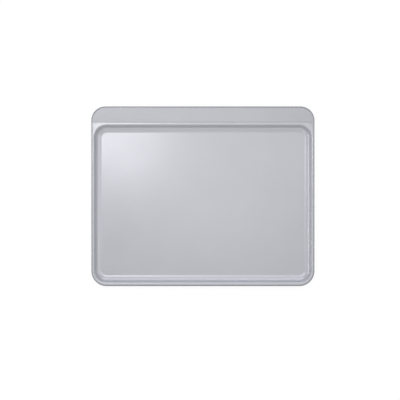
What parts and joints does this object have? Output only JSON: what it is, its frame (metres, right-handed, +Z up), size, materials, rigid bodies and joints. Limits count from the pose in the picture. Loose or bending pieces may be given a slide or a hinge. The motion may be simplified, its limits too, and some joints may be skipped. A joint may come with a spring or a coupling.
{
  "type": "cookie sheet",
  "caption": "Shallow pressed-metal cookie sheet with a coved wall, a narrow rim, a wire-rolled edge and a wide grip flange along the whole of one long side.",
  "frame": {"origin": "on the surface the sheet rests on, under the middle of its outline", "axes": "+X along the grip, +Y from the front edge to the grip, +Z up out of the recess"},
  "size_m": [0.44, 0.354, 0.0224],
  "materials": {
    "pan_coating": "satin pale grey non-stick coating on pressed steel sheet",
    "wire_steel": "drawn and galvanised wire"
  },
  "bodies": {
    "root": {"pan_shell": "pan_coating", "rim_wire": "wire_steel"}
  },
  "joints": []
}
